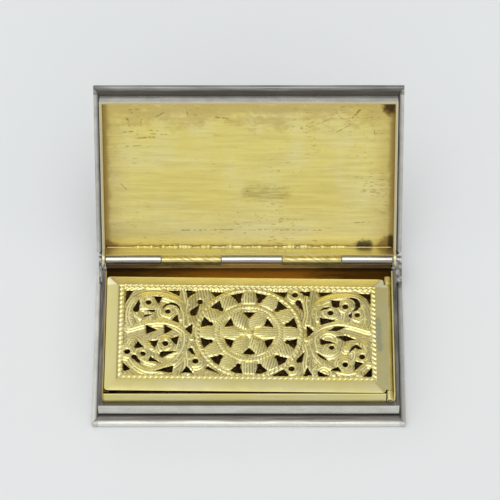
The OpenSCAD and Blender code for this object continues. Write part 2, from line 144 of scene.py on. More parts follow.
# Scratches inside the lid: start, end and width in millimetres on the shut lid's panel
LID_SCRATCHES = [
    ((-14.2, -6.9), (-13.9, -5.8), 0.20), ((-10.7, -7.0), (-9.9, -7.5), 0.14),
    ((-3.9, -6.9), (-2.4, -6.7), 0.18), ((12.1, -6.8), (12.9, -7.8), 0.20),
    ((-14.3, -3.2), (-12.6, -3.3), 0.10), ((-12.6, -6.2), (-12.3, -7.0), 0.10),
    ((7.0, -5.6), (9.8, -6.8), 0.09), ((14.6, -5.2), (14.7, -3.9), 0.09),
    ((-7.4, -8.2), (-7.1, -7.2), 0.09), ((3.6, 6.1), (6.4, 6.2), 0.08),
    ((13.3, -6.7), (14.4, -6.9), 0.09), ((-15.0, 1.6), (-14.4, 2.3), 0.10),
    ((-8.0, 7.6), (-2.0, 7.5), 0.11), ((1.0, 7.5), (8.5, 7.6), 0.10),
    ((-13.2, -4.2), (-11.0, -4.4), 0.12), ((-14.6, -5.0), (-13.5, -5.1), 0.12),
    ((-12.0, -5.3), (-10.6, -5.2), 0.10), ((-14.0, -7.8), (-12.8, -7.9), 0.10),
    ((-11.4, -4.8), (-9.6, -4.7), 0.09), ((10.2, -5.0), (11.8, -5.9), 0.09),
    ((12.4, 6.6), (14.2, 6.5), 0.09),
]
# Dark stains, brown blots and an olive smudge inside the lid, set out in the same way
LID_STAINS = [
    ((16.9, -9.4), (16.4, -8.1), 1.1), ((13.2, 9.6), (13.9, 9.5), 1.0), ((16.7, 9.6), (16.8, 8.6), 0.6),
]
LID_BLOTS = [
    ((15.6, 9.6), (16.2, 9.0), 0.9), ((16.0, -8.6), (16.4, -7.6), 0.9), ((-16.7, 9.4), (-15.9, 10.0), 0.9),
]
LID_SMUDGES = [((0.2, 2.7), (3.8, 2.9), 1.5)]

# Where the solder line inside the lid is full, in millimetres along it, how soon it fades there, how far
# it stays from the lid's sides and below its panel, and in how many lengths it is made
SOLDER_RUN = (-14.2, 12.2)
SOLDER_FADE = 1.2
SOLDER_INSET = 0.1
SOLDER_DROP = 0.22
SOLDER_STEPS = 240
# Least and most swelling of its lumps, as a share of its radius
SOLDER_THIN = 0.3
SOLDER_THICK = 1.45

# Stain on the frame of the grille, in millimetres on the plate
GRILLE_STAIN = ((15.1, -2.6), (14.95, 1.4), 0.55)

# Middle lines of the engraved scrolls right of the rosette, in millimetres from its middle
SCROLLS = [
    [(7.32, 0.95), (7.43, 2.54), (8.0, 3.79), (9.14, 4.59), (10.95, 5.04), (12.55, 4.7), (13.45, 3.56),
     (13.68, 1.86), (13.23, 0.72)],
    [(11.18, 1.63), (11.5, 3.1), (12.55, 3.4), (13.18, 2.65), (12.66, 1.9)],
    [(8.0, 1.86), (8.1, 3.0), (8.9, 3.56), (9.8, 3.34), (10.05, 2.54), (9.25, 2.2)],
    [(6.64, -0.87), (7.55, 0.27), (8.68, 1.06), (10.27, 1.4), (11.86, 1.18), (13.9, 0.5)],
    [(7.3, 0.04), (7.2, -1.32), (7.66, -2.9), (8.7, -4.28), (10.27, -5.19), (11.86, -5.3), (13.2, -4.28),
     (13.8, -2.7), (13.45, -1.55)],
    [(7.9, -1.1), (8.2, -2.5), (9.36, -2.9), (10.16, -2.2), (9.8, -1.3)],
    [(7.15, 5.9), (6.9, 4.2), (7.05, 2.6), (6.75, 1.2)],
    [(7.15, -5.9), (6.8, -4.4), (6.95, -2.8), (6.7, -1.6)],
    [(10.9, -4.3), (12.0, -3.9), (12.5, -3.0), (12.1, -2.2), (11.2, -2.2)],
]
# Middle of the rosette and the lines that the wriggle border follows, in millimetres
ROSETTE = (0.015, -0.52)
ROPE_LOW = (-14.75, -6.62)
ROPE_HIGH = (14.42, 5.73)
# Half the width of that border
ROPE_HALF = 0.27
# Radii of the rosette's boss, petals, inner ring, fans and outer ring, in millimetres
ROSETTE_RADII = (0.62, 3.32, 4.05, 5.72, 6.3)
# Depths of the engraving in millimetres: beside scrolls, between petals, between beads, where the frame
# begins, and round the cuts
SCROLL_DEPTH = 0.15
PETAL_DEPTH = 0.13
BEAD_DEPTH = 0.12
FRAME_STEP = 0.1
CUT_ROUNDING = 0.06
# Width of the collar round an eye, as far as its middle line, and how nearly round an eye is
COLLAR_MM = 0.3
EYE_ROUNDNESS = 1.08
# Radius of the grille's outer corners, its gap beside the knuckle, and the most that its edges slope down
FRAME_CORNER = 0.4
KNUCKLE_GAP = 0.06
SLOPE_MOST = 0.17
# What each point of the engraved plate keeps for its material
GRILLE_LAYERS = ("vein", "carved", "sunk")

# How far in the sponge's edges are soft and how deep its pores go, in millimetres, and how much its edges
# draw in
SPONGE_EDGE = 1.2
SPONGE_PORES = 0.45
SPONGE_DRAW = 0.25


# Shader nodes


class Field:
    """A value, vector or colour in a shader node tree, written in formulas like a number."""

    def __init__(self, socket):
        self.socket = socket
        self.tree = socket.id_data

    def node(self, kind, inputs, output=0, **settings):
        """What a new node gives out that takes this field into its first input."""
        return Field(add_node(self.tree, kind, {0: self, **inputs}, **settings).outputs[output])

    def group(self, name, *values):
        """What a node group gives out for this vector and the values after it."""
        inputs = dict(enumerate((self, *values)))
        node = add_node(self.tree, "ShaderNodeGroup", inputs, node_tree=bpy.data.node_groups[name])
        return [Field(socket) for socket in node.outputs]

    def math(self, operation, *others):
        return self.node("ShaderNodeMath", dict(enumerate(others, 1)), operation=operation)

    def __add__(self, other):
        return self.math("ADD", other)

    def __sub__(self, other):
        return self.math("SUBTRACT", other)

    def __rsub__(self, other):
        return self.node("ShaderNodeMath", {0: other, 1: self}, operation="SUBTRACT")

    def __mul__(self, other):
        return self.math("MULTIPLY", other)

    def __truediv__(self, other):
        return self.math("DIVIDE", other)

    def __rtruediv__(self, other):
        return self.node("ShaderNodeMath", {0: other, 1: self}, operation="DIVIDE")

    def __pow__(self, other):
        return self.math("POWER", other)

    def __abs__(self):
        return self.math("ABSOLUTE")

    def at_least(self, other):
        return self.math("MAXIMUM", other)

    def at_most(self, other):
        return self.math("MINIMUM", other)

    def smooth(self, low, high, out_low=0.0, out_high=1.0):
        """Rises or falls smoothly while this goes from low to high."""
        inputs = {"From Min": low, "From Max": high, "To Min": out_low, "To Max": out_high}
        return self.node("ShaderNodeMapRange", inputs, interpolation_type="SMOOTHSTEP")

    def fade(self, low, high):
        return self.smooth(low, high, 1.0, 0.0)

    def mix(self, low, high):
        """Mixes two values by this share."""
        return self.node("ShaderNodeMix", {2: low, 3: high})

    def tint(self, low, high):
        """Mixes two colours by this share."""
        ends = [end if isinstance(end, Field) else (*end, 1) for end in (low, high)]
        return self.node("ShaderNodeMix", {6: ends[0], 7: ends[1]}, 2, data_type="RGBA")

    def vector_math(self, operation, *others):
        output = "Value" if operation in ("DOT_PRODUCT", "DISTANCE") else "Vector"
        return self.node("ShaderNodeVectorMath", dict(enumerate(others, 1)), output, operation=operation)

    def scaled(self, factor):
        return self.node("ShaderNodeVectorMath", {"Scale": factor}, operation="SCALE")

    def split(self):
        node = add_node(self.tree, "ShaderNodeSeparateXYZ", {0: self})
        return [Field(socket) for socket in node.outputs]

    def flat(self, y):
        """A vector in the XY plane, whose X is this field."""
        return self.node("ShaderNodeCombineXYZ", {"Y": y})

    def cloud(self, scale, detail=2.0, roughness=0.5):
        """Noise at this place. Its scale is one number, or one for each axis."""
        place = self
        if isinstance(scale, tuple):
            place = self.vector_math("MULTIPLY", scale)
            scale = 1.0
        return place.node("ShaderNodeTexNoise", {"Scale": scale, "Detail": detail, "Roughness": roughness})


def add_node(tree, kind, inputs, **settings):
    """Adds a node, sets it up, and fills its inputs with values or links."""
    node = tree.nodes.new(kind)
    for name, value in settings.items():
        setattr(node, name, value)
    for key, value in inputs.items():
        if isinstance(value, Field):
            tree.links.new(value.socket, node.inputs[key])
        else:
            node.inputs[key].default_value = value
    return node


def new_group(name, inputs, outputs):
    """A shader node group with these sockets, and the fields that come into it."""
    tree = bpy.data.node_groups.new(name, "ShaderNodeTree")
    for label, default in inputs.items():
        kind = "NodeSocketVector" if isinstance(default, tuple) else "NodeSocketFloat"
        tree.interface.new_socket(label, in_out="INPUT", socket_type=kind).default_value = default
    for label in outputs:
        tree.interface.new_socket(label, in_out="OUTPUT", socket_type="NodeSocketFloat")
    start = tree.nodes.new("NodeGroupInput").outputs
    return tree, [Field(start[label]) for label in inputs]


def end_group(tree, *results):
    add_node(tree, "NodeGroupOutput", dict(enumerate(results)))


def build_brushing_group():
    """Fine lines along X left by the maker's abrasive stone."""
    inputs = {"Vector": (0, 0, 0), "Pitch": 0.2}
    tree, (vector, pitch) = new_group("Brushing", inputs, ["Height", "Streak"])
    pitched = vector.scaled(1.0 / pitch)
    fine = pitched.cloud((0.045, 1.0, 1.0), 3.0, 0.6)
    broad = pitched.cloud((0.025, 0.3, 0.3), 3.0, 0.6)
    end_group(tree, fine, (fine * 0.6 + broad).smooth(0.6, 1.05))


def build_handling_group():
    """Slow waves of hand-worked metal with the faint lines of use."""
    tree, (vector,) = new_group("Handling", {"Vector": (0, 0, 0)}, ["Height", "Wear"])
    height = vector.cloud(0.35) * 1.2 + vector.cloud((0.15, 3.0, 3.0)) * 0.16
    end_group(tree, height, vector.cloud(0.5, 3.0, 0.55))


def build_fold_group():
    """Tarnish in the moulding's hollow and in the fold at its wall, streaked along the moulding."""
    inputs = {"Vector": (0, 0, 0), "Height": 0.0}
    tree, (vector, height) = new_group("Fold tarnish", inputs, ["Mask", "Streak"])
    x, y, _ = vector.vector_math("ABSOLUTE").split()
    beyond_x = x - WALL_HX
    beyond_y = y - WALL_HY
    sideways = beyond_x.math("GREATER_THAN", beyond_y * (MOULD_OUT_SIDE / MOULD_OUT))
    beyond = beyond_x.at_least(beyond_y).at_least(0.0)
    share = beyond / sideways.mix(MOULD_OUT, MOULD_OUT_SIDE)
    lengthways = vector.cloud((0.2, 4.0, 4.0), 3.0, 0.6)
    crossways = vector.cloud((4.0, 0.2, 4.0), 3.0, 0.6)
    streak = sideways.mix(lengthways, crossways)
    drift = streak - 0.5

    rise = height - MOULD_H
    top = rise.smooth(-0.34, -0.22) * rise.fade(0.02, 0.06)
    worn = (share + drift * 0.6 + sideways * 0.3).fade(0.45, 1.05)
    hollow = top * worn * beyond.smooth(0.0, 0.03)
    hollow = hollow * drift.smooth(-0.3, 0.2, 0.85, 1.0) * sideways.mix(1.0, 0.8)
    away = (beyond ** 2 + rise ** 2).math("SQRT") + drift * 0.3
    end_group(tree, away.fade(0.17, 0.52).at_least(hollow), streak)


def build_patina_group():
    """Brown patina that creeps in from the edges in an uneven line."""
    inputs = {"Vector": (0, 0, 0), "Edge Distance": 1.0, "Reach": 1.0}
    tree, (vector, edge, reach) = new_group("Patina", inputs, ["Mask", "Bloom"])
    creep = vector.cloud(0.55, 4.0, 0.6) * 1.5
    mask = (edge / (reach * creep)).fade(0.15, 1.5)
    end_group(tree, mask, vector.cloud(0.16, 5.0, 0.6).smooth(0.35, 0.72))


def build_mark_group():
    """A scratch or a stain: soft round a line from Start to End, with a wavering outline."""
    inputs = {"Vector": (0, 0, 0), "Start": (0, 0, 0), "End": (1, 0, 0), "Width": 0.1}
    tree, (vector, begin, finish, width) = new_group("Mark", inputs, ["Mask"])
    run = finish.vector_math("SUBTRACT", begin)
    offset = vector.vector_math("SUBTRACT", begin)
    share = offset.vector_math("DOT_PRODUCT", run) / run.vector_math("DOT_PRODUCT", run)
    nearest = run.scaled(share.node("ShaderNodeClamp", {}))
    away = offset.vector_math("DISTANCE", nearest) / width
    waver = vector.cloud(2.2, 3.0) - 0.5
    end_group(tree, (away + waver).fade(0.25, 1.0))


def build_effect_groups():
    build_brushing_group()
    build_handling_group()
    build_fold_group()
    build_patina_group()
    build_mark_group()


def marked(flat, marks):
    """Where any of these scratches or stains lies."""
    mask = 0.0
    for begin, finish, width in marks:
        spot = flat.group("Mark", (*begin, 0), (*finish, 0), width)[0]
        mask = spot.at_least(mask)
    return mask


# Materials


def new_material(name):
    material = bpy.data.materials.new(name)
    material.use_nodes = True
    material.node_tree.nodes.clear()
    return material, material.node_tree


def end_material(tree, inputs):
    shader = add_node(tree, "ShaderNodeBsdfPrincipled", inputs)
    add_node(tree, "ShaderNodeOutputMaterial", {0: Field(shader.outputs[0])})


def coordinates(tree, kind):
    return Field(tree.nodes.new("ShaderNodeTexCoord").outputs[kind])


def place_mm(tree, on_lid=False):
    """Object coordinates in millimetres, on the lid turned to where it is shut."""
    inputs = {"Scale": (PER_MM,) * 3}
    if on_lid:
        inputs["Rotation"] = (LID_SHUT, 0, 0)
        inputs["Location"] = SHUT_LID.translation * PER_MM
    return coordinates(tree, "Object").node("ShaderNodeMapping", inputs)


def leaning(tree, slope):
    """Normal of a wall that was bent a little inwards by hand, which leans by this slope."""
    tilted = coordinates(tree, "Normal").vector_math("ADD", slope)
    spaces = {"vector_type": "NORMAL", "convert_from": "OBJECT", "convert_to": "WORLD"}
    return tilted.node("ShaderNodeVectorTransform", {}, **spaces).vector_math("NORMALIZE")


def end_worn_material(tree, colour, rough, height, bump_mm=BUMP_MM, slope=None, metallic=1.0):
    """Ends a material with these layers, on a wall that may lean."""
    relief = {"Distance": bump_mm * MM, "Height": height}
    if slope is not None:
        relief["Normal"] = leaning(tree, slope)
    normal = Field(add_node(tree, "ShaderNodeBump", relief).outputs[0])
    end_material(tree, {"Base Color": colour, "Roughness": rough, "Metallic": metallic, "Normal": normal})


def silver_layers(vector, height_mm, colours, film, tarnish=0.97):
    """Colour, roughness and bump height of the worn silver outside, under a grey film."""
    bump, wear = vector.group("Handling")
    fold, streak = vector.group("Fold tarnish", height_mm)
    filmed = (wear + streak).smooth(0.6, 1.4, 0.4, 1.0) * film
    colour = filmed.tint(colours.silver, colours.silver_film)
    colour = (fold * tarnish).tint(colour, colours.tarnish)
    return colour, fold.mix(wear.mix(0.2, 0.34), 0.45), bump


def gilt_layers(vector, edge_mm, reach_mm, colours, pitch_mm, pale):
    """Colour, roughness and bump height of brushed gilding with patina near its edges."""
    bump, streak = vector.group("Brushing", pitch_mm)
    patina, bloom = vector.group("Patina", edge_mm, reach_mm)
    colour = bloom.smooth(0.0, 1.0, pale - 0.3, pale + 0.3).tint(colours.gilt, colours.gilt_pale)
    colour = (streak * 0.22).tint(colour, colours.gilt_shade)
    colour = (patina * 0.8).tint(colour, colours.patina)
    return colour, patina.mix(streak.mix(0.28, 0.4), 0.5), bump


def rim_darkening(vector):
    """Darker on the rim round the bezel, where the lid comes down, in streaks along the sides."""
    x, _, z = vector.split()
    sides = vector.cloud((4.0, 0.25, 1.0), 3.0).smooth(0.35, 0.65, 0.75, 1.0)
    sideways = abs(x).smooth(BEZEL_HX - 0.1, BEZEL_HX)
    return z.smooth(RIM_Z - 0.05, RIM_Z - 0.02) * sideways.mix(1.0, sides)


def pitting(vector):
    """Pits and hollows of a rough casting."""
    return vector.cloud(1.8, 3.0, 0.6).smooth(0.35, 0.6, 0.25, 0.9)


def barrel_shade(vector):
    """Painted shade low on the hinge barrel's front, its top left bright, a painted shadow under the lid's
    strip, and dark knuckle joints.
    """
    x, y, z = vector.split()
    drift = vector.cloud((0.3, 2.0, 2.0), 3.0) - 0.5
    top = LID_AXIS.z * PER_MM + 0.52
    behind = y - LID_AXIS.y * PER_MM
    front = (z + drift * 0.15).smooth(top - 0.08, top, 0.66, 0.0)
    # Painted shadow where the barrel meets the lid's back strip
    seam = behind.smooth(0.05, 0.15, 0.0, 0.8) * behind.fade(0.3, 0.4)
    low = (front * behind.smooth(0.0, 0.4, 1.0, 0.35)).at_least(seam)
    for end in KNUCKLE_ENDS:
        low = low.at_least(abs(x - end).fade(0.05, 0.12))
    return low


def gilt_reflection_under_barrel(vector):
    """Painted reflection of the gilding inside the base, on the underside of the barrel above it."""
    _, y, z = vector.split()
    middle = LID_AXIS * PER_MM
    low = z.smooth(middle.z - 0.1, middle.z + 0.45, 0.75, 0.0)
    return low * y.fade(middle.y - 0.1, middle.y + 0.15)


def front_darkening(vector):
    """Darker on the lid's mouldings, the front one dark out to its edge and the side ones less so."""
    x, y, _ = vector.split()
    dark = vector.cloud((0.15, 3.0, 3.0), 3.0).smooth(0.3, 0.7, 0.35, 0.8)
    front = dark * y.fade(-WALL_HY - 0.06, -WALL_HY)
    return front.at_least(abs(x).smooth(WALL_HX, WALL_HX + 0.1, 0.0, 0.18))


def dulled(vector):
    """Handling that has dulled the small hinge."""
    return vector.cloud(0.6, 3.0).smooth(0.3, 0.7, 0.1, 0.5)


def file_marks(vector):
    """Slanting strokes of a file, together with the barrel's painted shade low on the barrel."""
    across = vector.vector_math("DOT_PRODUCT", (1.8, 3.2, 3.2))
    along = vector.vector_math("DOT_PRODUCT", (0.6, -0.35, -0.35))
    strokes = across.flat(along).cloud(1.0, 3.0).smooth(0.42, 0.56, 0.05, 0.95)
    return strokes.at_least(barrel_shade(vector) * 0.9)


def build_silver_material(
    name, colours, film, on_lid=False, dark_of=None, slope=None, side_film_and_shade=None, reflection_of=None
):
    """Worn silver for the base, or for the lid in its shut place."""
    material, tree = new_material(name)
    vector = place_mm(tree, on_lid)
    x, _, z = vector.split()
    height = SHUT_H - z if on_lid else z
    # On the sides the grey film is laid on thicker, as painted shade
    if side_film_and_shade is not None:
        film = abs(x).smooth(WALL_HX, WALL_HX + 0.1, film, side_film_and_shade)
    colour, rough, bump = silver_layers(vector, height, colours, film)
    if dark_of is not None:
        # The dark that dark_of gives is laid on in the tarnish colour; on the barrel it is painted shade
        dark = dark_of(vector)
        colour = (dark * 0.9).tint(colour, colours.tarnish)
        rough = dark.mix(rough, 0.5)
    # A painted reflection of the gilding below, warm in the middle and browner towards the ends
    if reflection_of is not None:
        brown = abs(x).smooth(4.0, 9.0).tint(colours.gilt_warm, colours.patina)
        colour = reflection_of(vector).tint(colour, brown)
    end_worn_material(tree, colour, rough, bump, slope=slope)
    return material


def build_inside_material(colours):
    """The old gilding inside the base, gone brown, with painted light and shade: lighter in the middle,
    darker towards the ends and towards the top under the barrel; on strips that are silver outside.
    """
    material, tree = new_material("Brown gilding inside")
    vector = place_mm(tree)
    x, y, z = vector.split()
    mottle = vector.cloud((0.3, 1.2, 1.2), 4.0, 0.6)
    # Painted light: lighter in the middle, darker towards the ends
    lit = (mottle + abs(x).smooth(2.0, 17.0, 0.25, -0.25)).smooth(0.25, 0.75)
    brown = lit.tint(colours.patina, colours.gilt_warm)
    # Painted shade towards the top, under the barrel, in the stain colour
    shaded = (z + mottle).smooth(RIM_Z - 0.6, RIM_Z + 0.35) * lit.mix(1.0, 0.7)
    brown = shaded.tint(brown, colours.stain)
    outside = y.smooth(WALL_HY - 0.06, WALL_HY - 0.02).at_least(z.fade(0.05, 0.1))
    end_worn_material(tree, outside.tint(brown, colours.silver), 0.55, mottle)
    return material


def build_lid_material(colours):
    """Silver outside and gilt inside, split where the lid's inner faces lie."""
    material, tree = new_material("Lid silver and gilding")
    vector = place_mm(tree, on_lid=True)
    x, y, z = vector.split()
    height = SHUT_H - z
    film = y.smooth(0.02 - WALL_HY, 0.1 - WALL_HY, 0.8, 0.1)
    film = film.at_least(height.smooth(0.02, 0.1, 0.5, 0.0))
    silver, silver_rough, silver_bump = silver_layers(vector, height, colours, film, 0.12)

    from_side = LID_INNER_HX - abs(x)
    from_front = y + (WALL_HY - LID_WALL_T)
    below = PANEL_Z - z
    behind = BACK_STRIP_Y - y
    from_corner = (behind ** 2 + below ** 2).math("SQRT") * 1.7 + 0.1
    inside = from_side.at_most(from_front)
    edge = inside.at_most(from_corner).at_least(0.0)
    gilt, gilt_rough, gilt_bump = gilt_layers(vector, edge, 0.72, colours, 0.16, 0.3)

    # Bright towards the hinge, brown mottling towards the front, browner towards the walls as patina and
    # painted shade, and short specks in patches
    gilt = y.smooth(3.0, 8.0, 0.0, 0.22).tint(gilt, colours.gilt_bright)
    mottle = vector.cloud((0.5, 0.8, 1.0), 5.0, 0.65)
    frontward = mottle + from_front.smooth(0.3, 7.0, 0.24, -0.14)
    gilt = frontward.smooth(0.48, 0.72, 0.0, 0.6).tint(gilt, colours.gilt_brown)
    # Patina with painted shade, browner towards the lid's walls
    warm = (inside + mottle * -2.0).smooth(-1.2, 2.6, 0.6, 0.0)
    gilt = warm.tint(gilt, colours.gilt_brown)
    speck = vector.cloud((1.6, 5.0, 1.0)) + vector.cloud(0.12) * 0.5
    gilt = (speck.smooth(0.9, 1.02) * 0.5).tint(gilt, colours.patina)

    # Smudges in streaks, blots and stains on the panel alone, and broken scratches
    streaky = vector.cloud((0.5, 5.0, 1.0), 3.0).smooth(0.35, 0.6)
    on_panel = below.fade(0.15, 0.5)
    broken = vector.cloud(3.0, 3.0).smooth(0.35, 0.6)
    flat = x.flat(y)
    for marks, limit, strength, tone in (
        (LID_SMUDGES, streaky, 0.35, colours.gilt_shade), (LID_BLOTS, on_panel, 0.7, colours.patina),
        (LID_STAINS, on_panel, 0.9, colours.stain), (LID_SCRATCHES, broken, 0.6, colours.patina),
    ):
        mask = marked(flat, marks) * limit
        gilt = (mask * strength).tint(gilt, tone)
        gilt_rough = mask.mix(gilt_rough, 0.6)

    # Worn along the back strip and the lip
    strip = behind.fade(0.0, 0.05) * below.smooth(0.1, 0.3)
    wear_and_sheen = strip * vector.cloud((0.14, 1.0, 4.5), 3.0).smooth(0.38, 0.6, 0.15, 0.95)
    gilt = wear_and_sheen.tint(gilt, colours.gilt_worn)
    lip = z.fade(RIM_Z + 0.1, RIM_Z + 0.16)
    gilt = (lip * 0.7).tint(gilt, colours.gilt_worn)
    gilt_rough = lip.mix(gilt_rough, 0.35)

    within = (inside + lip * 0.22).smooth(-0.06, -0.03)
    under = z.fade(PANEL_Z + 0.03, PANEL_Z + 0.06)
    outside = behind.fade(-0.08, -0.05) * from_side.smooth(0.0, 0.05)
    gilded = within * under * (1.0 - outside)
    colour = gilded.tint(silver, gilt)
    rough = gilded.mix(silver_rough, gilt_rough)
    bump = gilded.mix(silver_bump, gilt_bump)
    slope = (1.0 - gilded).vector_math("MULTIPLY", SHUT_LID.inverted().to_3x3() @ -Vector(WALL_LEAN))
    end_worn_material(tree, colour, rough, bump, slope=slope)
    return material


def build_gilt_material(
    name, colours, pitch_mm, pale, on_lid=False, edge_of=None, shade_of=None, slope=None
):
    """Gilding on the small fittings. Patina keeps to the distance that "edge_of" gives."""
    material, tree = new_material(name)
    vector = place_mm(tree, on_lid)
    edge = FAR_MM if edge_of is None else edge_of(vector)
    colour, rough, bump = gilt_layers(vector, edge, 0.3, colours, pitch_mm, pale)
    if shade_of is not None:
        colour = shade_of(vector).tint(colour, colours.gilt_shade)
    end_worn_material(tree, colour, rough, bump, slope=slope)
    return material


def bezel_edge(vector):
    """Distance from the rim below the bezel and from its brown left side."""
    x, _, z = vector.split()
    return (z - (RIM_Z - 0.25)).at_most(x + BEZEL_HX).at_least(0.0)


def build_grille_material(colours):
    """Bright gilding with engraved lines, painted shade in the cuts, polished on the frame and a painted
    highlight along its back band.
    """
    material, tree = new_material("Engraved gilding")
    vector = place_mm(tree)
    nodes = [add_node(tree, "ShaderNodeAttribute", {}, attribute_name=name) for name in GRILLE_LAYERS]
    vein, carved, sunk = (Field(node.outputs["Fac"]) for node in nodes)
    cut = (vein * math.tau).math("SINE").smooth(0.3, 1.0)
    cut = cut * carved * vector.cloud(2.5).smooth(0.3, 0.5)
    waves, wear = vector.group("Handling")
    bloom = vector.cloud(0.2, 4.0, 0.6).smooth(0.4, 0.7, 0.55, 1.0)
    colour = bloom.tint(colours.gilt, colours.gilt_pale)
    # Painted shade in the engraved cuts
    colour = (cut * 0.42).tint(colour, colours.gilt_shade)
    x, y, _ = vector.split()
    # Painted highlight along the back band of the frame, in the bright gilding colour
    wear_and_sheen = y.smooth(ROPE_HIGH[1] + 0.2, ROPE_HIGH[1] + 0.4)
    colour = wear_and_sheen.tint(colour, colours.gilt_bright)
    stain = marked(x.flat(y), [GRILLE_STAIN])
    colour = (stain * 0.5).tint(colour, colours.verdigris)
    colour = sunk.tint(colour, colours.patina)
    rough = carved.mix(wear.mix(0.14, 0.28), 0.24)
    end_worn_material(tree, colour, rough, waves * 0.15 - cut, CUT_MM)
    return material


def build_sponge_material(colours):
    """Dry brown sponge with darker pores."""
    material, tree = new_material("Old sponge")
    pores = place_mm(tree).cloud(2.4, 4.0, 0.6)
    colour = pores.smooth(0.35, 0.65).tint(colours.sponge_pore, colours.sponge)
    end_worn_material(tree, colour, 0.95, pores, PORE_MM, metallic=0.0)
    return material


# Meshes


def add_object(name, data):
    thing = bpy.data.objects.new(name, data)
    bpy.context.scene.collection.objects.link(thing)
    return thing


def add_mesh(name, bm, material):
    mesh = bpy.data.meshes.new(name)
    bm.to_mesh(mesh)
    bm.free()
    mesh.materials.append(material)
    return add_object(name, mesh)


def add_piece(name, bm, material, body, nodes=()):
    """Turns a bmesh into a piece that rides on a body and may stand for CAD nodes."""
    piece = add_mesh(name, bm, material)
    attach(piece, body)
    if nodes:
        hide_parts(*nodes)
    return piece


def shade(piece, angle):
    """Smooth shading, with creases kept where faces meet at more than this angle."""
    piece.data.polygons.foreach_set("use_smooth", [True] * len(piece.data.polygons))
    piece.data.set_sharp_from_angle(angle=angle)


def joined_copy(node):
    """The CAD piece as a joined-up bmesh."""
    bm = bmesh.new()
    bm.from_mesh(frame["nodes"][node].data)
    bmesh.ops.remove_doubles(bm, verts=bm.verts, dist=WELD)
    return bm


def thin_back_strip(bm):
    """Brings the inner face of the lid's back strip back to where its solder line is seen."""
    for v in bm.verts:
        shut = SHUT_LID @ v.co
        if shut.y < BACK_STRIP_Y * MM:
            shut.y = BACK_STRIP_Y * MM
            v.co = SHUT_LID.inverted() @ shut


def add_worn_piece(node, body, material, wear, segments):
    """A CAD piece with its flat sides made single faces and its sharp edges rounded by handling."""
    bm = joined_copy(node)
    bmesh.ops.dissolve_limit(bm, angle_limit=FLAT_ANGLE, verts=bm.verts, edges=bm.edges)
    if node == "lid_back_strip":
        thin_back_strip(bm)
        wear = BACK_STRIP_T * MM / 3
    sharp = [e for e in bm.edges if e.is_manifold and e.calc_face_angle() > WORN_ANGLE]
    bmesh.ops.bevel(
        bm, geom=sharp, offset=wear, offset_type="OFFSET", segments=segments, profile=0.5,
        affect="EDGES", material=-1, clamp_overlap=True,
    )
    piece = add_piece(f"{node}_worn", bm, material, body, [node])
    shade(piece, CREASE_ANGLE)
    even = piece.modifiers.new("Even shading", "WEIGHTED_NORMAL")
    even.keep_sharp = True
    return piece


def ease(value, low, high):
    """Smooth step for arrays."""
    share = np.clip((value - low) / (high - low), 0.0, 1.0)
    return share * share * (3 - 2 * share)


def run_through(points, step):
    """Evenly sampled smooth curve through the points."""
    stops = [np.array(point) for point in points]
    ends = [2 * stops[0] - stops[1], *stops, 2 * stops[-1] - stops[-2]]
    samples = []
    for a, b, c, d in zip(ends, ends[1:], ends[2:], ends[3:]):
        for t in np.arange(0, 1, step / max(np.linalg.norm(c - b), step)):
            turn = (2 * a - 5 * b + 4 * c - d) * t * t + (3 * b - a - 3 * c + d) * t ** 3
            samples.append((2 * b + (c - a) * t + turn) / 2)
    return samples


class PlateHoles:
    """The pierced CAD plate laid flat, in millimetres, asked where its metal is."""

    def __init__(self):
        bm = joined_copy("grille_plate")
        bm.transform(Matrix.Scale(PER_MM, 4) @ LAID_GRILLE)
        bm.normal_update()
        places = [v.co.copy() for v in bm.verts]
        self.low, self.high = span(places)
        self.bottom = self.low.z
        self.top = self.high.z
        self.flat_low, self.flat_high = span([p for p in places if p.z > self.top - 1e-3])
        self.slope_drop = self.top - min(p.z for p in places if p.z > self.top - SLOPE_MOST)
        self.plate = BVHTree.FromBMesh(bm)
        rims = [
            f for f in bm.faces
            if abs(f.normal.z) < 0.3
            and all(self.flat_low[i] < f.calc_center_median()[i] < self.flat_high[i] for i in range(2))
        ]
        self.walls = BVHTree.FromPolygons(places, [[v.index for v in f.verts] for f in rims])
        self.eyes = self.find_eyes(rims)
        bm.free()

    def find_eyes(self, rims):
        """Middle and radius of every round hole."""
        waiting = dict.fromkeys(rims)
        eyes = []
        while waiting:
            group = [waiting.popitem()[0]]
            for face in group:
                near = dict.fromkeys(f for e in face.edges for f in e.link_faces if f in waiting)
                for f in near:
                    del waiting[f]
                group.extend(near)
            ring = np.array([v.co[:2] for f in group for v in f.verts])
            middle = (ring.min(axis=0) + ring.max(axis=0)) / 2
            radii = np.linalg.norm(ring - middle, axis=1)
            if radii.max() < EYE_ROUNDNESS * radii.min():
                eyes.append((middle, radii.mean()))
        return eyes

    def is_metal(self, x, y):
        hit = self.plate.ray_cast(Vector((x, y, self.top + 1)), Vector((0, 0, -1)))[0]
        return hit is not None and hit.z > self.bottom + 0.05

    def nearest_wall(self, x, y):
        place, _, _, away = self.walls.find_nearest(Vector((x, y, (self.top + self.bottom) / 2)))
        return place, away


def scroll_distance(points, eyes):
    """Distance from the nearest engraved middle line, or from the collar of a round hole."""
    lines = []
    for curve in SCROLLS:
        for side in (1, -1):
            lines.extend((ROSETTE[0] + side * x, ROSETTE[1] + y) for x, y in run_through(curve, 0.05))
    for middle, radius in eyes:
        for turn in np.linspace(0, math.tau, 80, endpoint=False):
            lines.append(middle + (radius + COLLAR_MM) * np.array((math.cos(turn), math.sin(turn))))
    tree = KDTree(len(lines))
    for index, line in enumerate(lines):
        tree.insert((line[0], line[1], 0), index)
    tree.balance()
    return np.array([tree.find((x, y, 0))[2] for x, y in points])


